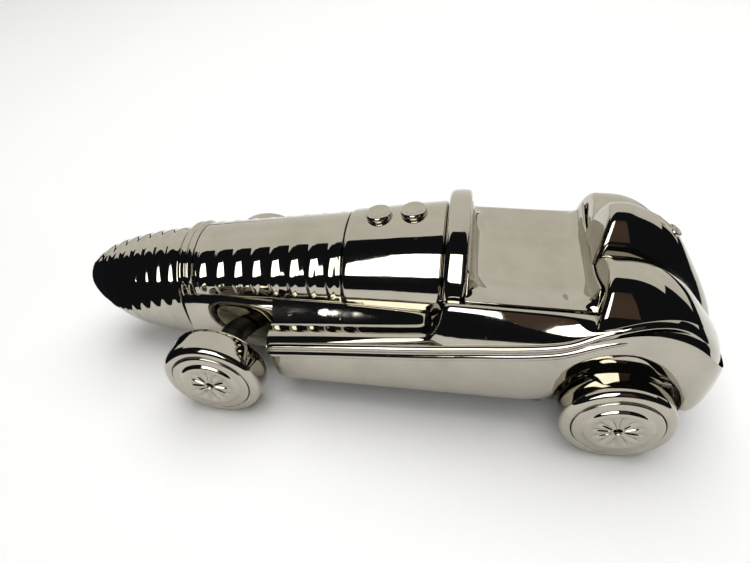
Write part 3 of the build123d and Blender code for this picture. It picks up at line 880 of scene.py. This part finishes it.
class CAR_OT_wheels(bpy.types.Operator):
    """Tyres and fluted discs of the four wheels"""

    bl_idname = "car.wheels"
    bl_label = "Wheels"

    def execute(self, context):
        flutes = context.scene.car_shapes.flutes
        radius = (TYRE_BOX[1].z - TYRE_BOX[0].z) / 2 / MM
        tread = ((16.4, 11.6), (15.7, 11.2), (15.65, 0.25), (15.8, 0.0), (17.0, 0.0), (18.4, 0.25), (19.3, 0.9))
        tread += ((19.85, 1.9), (radius, 3.4), (radius, 6.0), (radius, 9.6), (19.7, 11.0), (18.7, 11.8), (17.4, 12.0))
        tread += ((16.4, 11.6),)
        disc = ((0.0, 2.2), (1.1, 2.2), (1.3, 0.6), (1.35, -1.1), (1.9, -1.5), (3.0, -1.55), (5.0, -1.5), (7.0, -1.45))
        disc += ((8.6, -1.45), (9.4, -1.65), (10.2, -1.68), (11.0, -1.6), (11.6, -1.2), (12.0, -0.75), (12.6, -0.62))
        disc += ((13.8, -0.65), (14.8, -0.55), (15.4, -0.3), (15.6, 0.1), (15.6, 6.0), (15.6, 11.3), (15.0, 11.4))
        disc += ((0.0, 11.4),)
        for end, axle in (("front", FRONT_AXLE), ("rear", REAR_AXLE)):
            for hand, side in (("left", -1), ("right", 1)):
                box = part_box(f"{end}_{hand}_tyre")
                face = box[1].y if side > 0 else box[0].y
                centre = Vector((axle.x, face, axle.z))
                body = f"{end}_wheelset"
                bm = bmesh.new()
                lathe(bm, tread, centre, side)
                keep(bm, f"{end}_{hand}_tyre_finish", [f"{end}_{hand}_tyre"], "tyre_plating", body)
                bm = bmesh.new()
                lathe(bm, disc, centre, side, steps=flutes * 12)
                for vert in bm.verts:
                    offset = vert.co - centre
                    reach = sqrt(offset.x**2 + offset.z**2) / MM
                    outside = offset.y * side > 0
                    if outside and 1.6 < reach < 9.0:
                        wave = cos(flutes * atan2(offset.z, offset.x))
                        depth = 0.6 * smooth(reach, 1.6, 3.4) * (1 - smooth(reach, 7.2, 9.0))
                        vert.co.y -= side * depth * (0.5 + 0.5 * wave) ** 2 * MM
                keep(bm, f"{end}_{hand}_disc_finish", [f"{end}_{hand}_wheel_disc"], "dark_plating", body)
        return {"FINISHED"}


class CAR_OT_frame_parts(bpy.types.Operator):
    """Finishes of the parts that keep their CAD shape"""

    bl_idname = "car.frame_parts"
    bl_label = "Axles, bushes and base"

    def execute(self, context):
        finishes = {"base_pan": "plain_casting", "base_screws": "bright_steel"}
        for end in ("front", "rear"):
            finishes[f"{end}_axle_beam"] = "plain_casting"
            finishes[f"{end}_bushes"] = "bearing_brass"
            finishes[f"{end}_axle"] = "bright_steel"
        for node, finish in finishes.items():
            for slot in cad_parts[node].material_slots:
                slot.material = finish_of(finish)
        return {"FINISHED"}


# ---------------------------------------------------------------- studio


def card(name, corners, material, shown_to):
    """Flat studio card between four corners, seen only by the given rays."""
    bm = bmesh.new()
    bm.faces.new([bm.verts.new(corner) for corner in corners])
    mesh = bpy.data.meshes.new(name)
    bm.to_mesh(mesh)
    bm.free()
    mesh.materials.append(material)
    piece = bpy.data.objects.new(name, mesh)
    bpy.context.scene.collection.objects.link(piece)
    for ray in ("camera", "diffuse", "glossy", "transmission", "shadow"):
        setattr(piece, f"visible_{ray}", ray in shown_to)
    return piece


class CAR_OT_studio(bpy.types.Operator):
    """Pale floor, soft panels, world and camera"""

    bl_idname = "car.studio"
    bl_label = "Studio"

    def execute(self, context):
        look = context.scene.car_finishes
        ground = pale_ground("pale_ground", tuple(look.ground))
        wide = 4.0
        floor = [(-wide, -wide, 0), (wide, -wide, 0), (wide, wide, 0), (-wide, wide, 0)]
        card("floor", floor, ground, ("camera", "diffuse", "shadow"))
        mirrored = [(-0.34, 0.12), (-0.15, 0.03), (-0.11, -0.10), (-0.04, -0.15), (0.34, -0.24), (0.34, 0.9), (-0.34, 0.9)]
        card("mirrored_floor", [(x, y, 0.0001) for x, y in mirrored], ground, ("glossy",))
        white = glow("pale_panel", (0.98, 0.955, 0.90), 0.92)
        back = [(-3.0, 0.9, 0.0), (3.0, 0.9, 0.0), (3.0, 0.75, 1.5), (-3.0, 0.75, 1.5)]
        card("back_panel", back, white, ("glossy",))
        ceiling = [(-3.0, -0.22, 1.5), (3.0, -0.22, 1.5), (3.0, 0.75, 1.5), (-3.0, 0.75, 1.5)]
        card("ceiling_panel", ceiling, white, ("glossy",))
        bright = glow("window", (1.0, 0.985, 0.95), 5.0)
        window = [(-0.55, -1.0, 0.16), (0.10, -1.0, 0.16), (0.10, -1.0, 1.1), (-0.55, -1.0, 1.1)]
        card("window_panel", window, bright, ("glossy",))
        brown = glow("warm_panel", (0.42, 0.24, 0.15), 0.16)
        warm = [(0.10, -1.0, 0.16), (0.52, -1.0, 0.16), (0.52, -1.0, 1.1), (0.10, -1.0, 1.1)]
        card("warm_panel", warm, brown, ("glossy",))
        self.light("overhead", (0.1, 0.35, 1.3), 1.6, 24.0)
        self.light("fill", (-0.2, -0.9, 1.1), 1.2, 7.0)
        world = bpy.data.worlds.new("studio")
        world.use_nodes = True
        backdrop = world.node_tree.nodes["Background"]
        backdrop.inputs["Color"].default_value = (0.010, 0.011, 0.014, 1)
        backdrop.inputs["Strength"].default_value = 1.0
        context.scene.world = world
        self.camera(context.scene)
        return {"FINISHED"}

    def light(self, name, place, size, power):
        """Soft square light that points at the car and isn't mirrored in it."""
        data = bpy.data.lights.new(name, "AREA")
        data.size = size
        data.energy = power
        lamp = bpy.data.objects.new(name, data)
        lamp.location = place
        lamp.rotation_euler = (-Vector(place)).to_track_quat("-Z", "Y").to_euler()
        lamp.visible_glossy = False
        bpy.context.scene.collection.objects.link(lamp)

    def camera(self, scene):
        """Camera over the car's left side."""
        data = bpy.data.cameras.new("camera")
        data.lens = 25.92
        data.sensor_width = 36.0
        data.clip_start = 0.01
        camera = bpy.data.objects.new("camera", data)
        right = Vector((0.98520, 0.16461, -0.04778))
        up = Vector((-0.07651, 0.67179, 0.73676))
        turn = Matrix((right, up, right.cross(up))).transposed()
        camera.matrix_world = Matrix.Translation((0.0334, -0.1618, 0.191)) @ turn.to_4x4()
        scene.collection.objects.link(camera)
        scene.camera = camera
        scene.view_settings.view_transform = "Standard"
        scene.view_settings.look = "None"


OPERATORS = (
    CAR_OT_nose,
    CAR_OT_band,
    CAR_OT_bonnet,
    CAR_OT_scuttle,
    CAR_OT_hoop,
    CAR_OT_body,
    CAR_OT_shoulders,
    CAR_OT_skirt,
    CAR_OT_mouldings,
    CAR_OT_cockpit,
    CAR_OT_fairing,
    CAR_OT_caps,
    CAR_OT_wheels,
    CAR_OT_frame_parts,
    CAR_OT_studio,
)


class CAR_PT_panel(bpy.types.Panel):
    """Sizes, finishes and the steps that build the car"""

    bl_label = "Racing Car"
    bl_idname = "CAR_PT_panel"
    bl_space_type = "VIEW_3D"
    bl_region_type = "UI"
    bl_category = "Racing Car"

    def draw(self, context):
        layout = self.layout
        for group in (context.scene.car_shapes, context.scene.car_finishes):
            for key in group.bl_rna.properties.keys():
                if key not in ("rna_type", "name"):
                    layout.prop(group, key)
        for operator in OPERATORS:
            layout.operator(operator.bl_idname)


def register():
    for group in (CarShapes, CarFinishes, *OPERATORS, CAR_PT_panel):
        bpy.utils.register_class(group)
    bpy.types.Scene.car_shapes = PointerProperty(type=CarShapes)
    bpy.types.Scene.car_finishes = PointerProperty(type=CarFinishes)


def unregister():
    del bpy.types.Scene.car_finishes
    del bpy.types.Scene.car_shapes
    for group in reversed((CarShapes, CarFinishes, *OPERATORS, CAR_PT_panel)):
        bpy.utils.unregister_class(group)


def main():
    """Build everything."""
    register()
    for operator in OPERATORS:
        group, step = operator.bl_idname.split(".")
        getattr(getattr(bpy.ops, group), step)()


if __name__ == "__main__":
    main()
